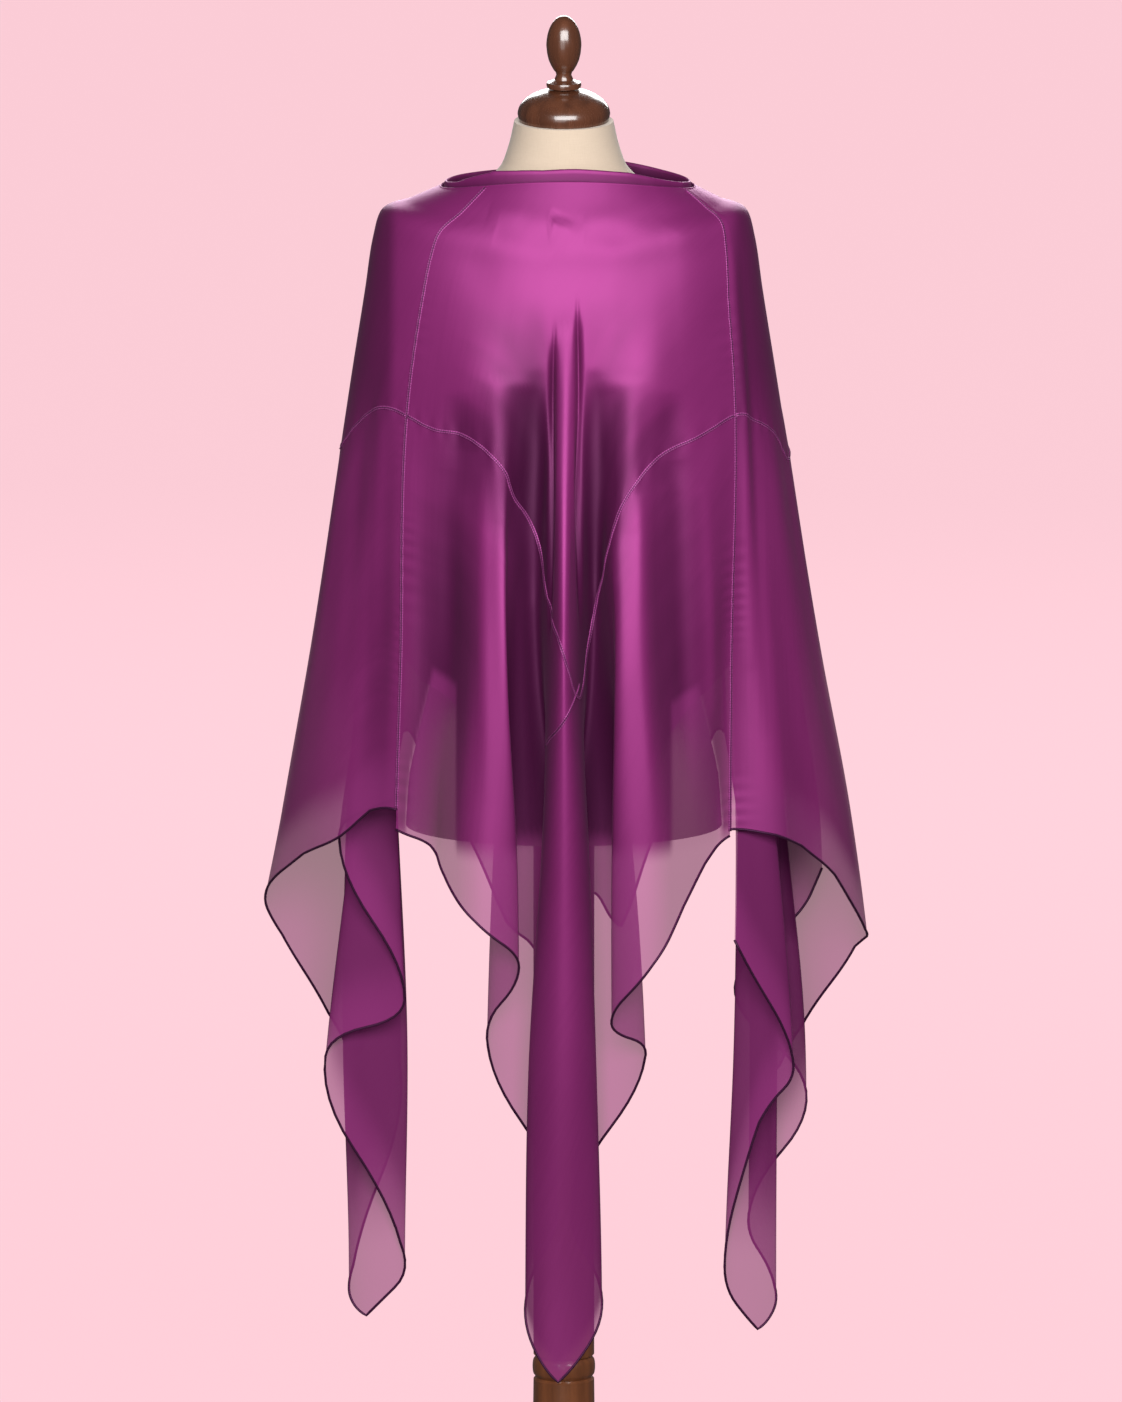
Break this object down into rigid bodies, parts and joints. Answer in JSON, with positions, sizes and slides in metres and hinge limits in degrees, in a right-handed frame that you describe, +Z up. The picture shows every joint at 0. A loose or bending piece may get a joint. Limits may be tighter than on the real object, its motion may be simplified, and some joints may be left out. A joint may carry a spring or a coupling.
{
  "type": "satin wrap on a dress form stand",
  "caption": "Draped silk satin wrap with long pointed tails, worn by a limbless dress form on a turned wooden stand.",
  "frame": {"origin": "centre of the round base's underside, on the floor", "axes": "+Z up, the front of the wrap faces -Y, +X to the viewer's right"},
  "size_m": [0.631, 0.3815, 1.66],
  "materials": {
    "satin": "plum silk satin, soft sheen, slightly sheer",
    "linen": "matte cream linen",
    "dark_wood": "glossy dark walnut",
    "pole_wood": "varnished brown wood"
  },
  "bodies": {
    "root": {"stand_base": "dark_wood", "stand_pole": "pole_wood", "form_torso": "linen", "neck_cap": "dark_wood", "finial": "dark_wood", "front_yoke": "satin", "front_skirt": "satin", "front_lining": "satin", "side_yoke_left": "satin", "side_yoke_right": "satin", "side_skirt_left": "satin", "side_skirt_right": "satin", "side_tail_left": "satin", "side_tail_right": "satin", "back_yoke": "satin", "back_skirt": "satin", "neck_fold": "satin"}
  },
  "joints": []
}
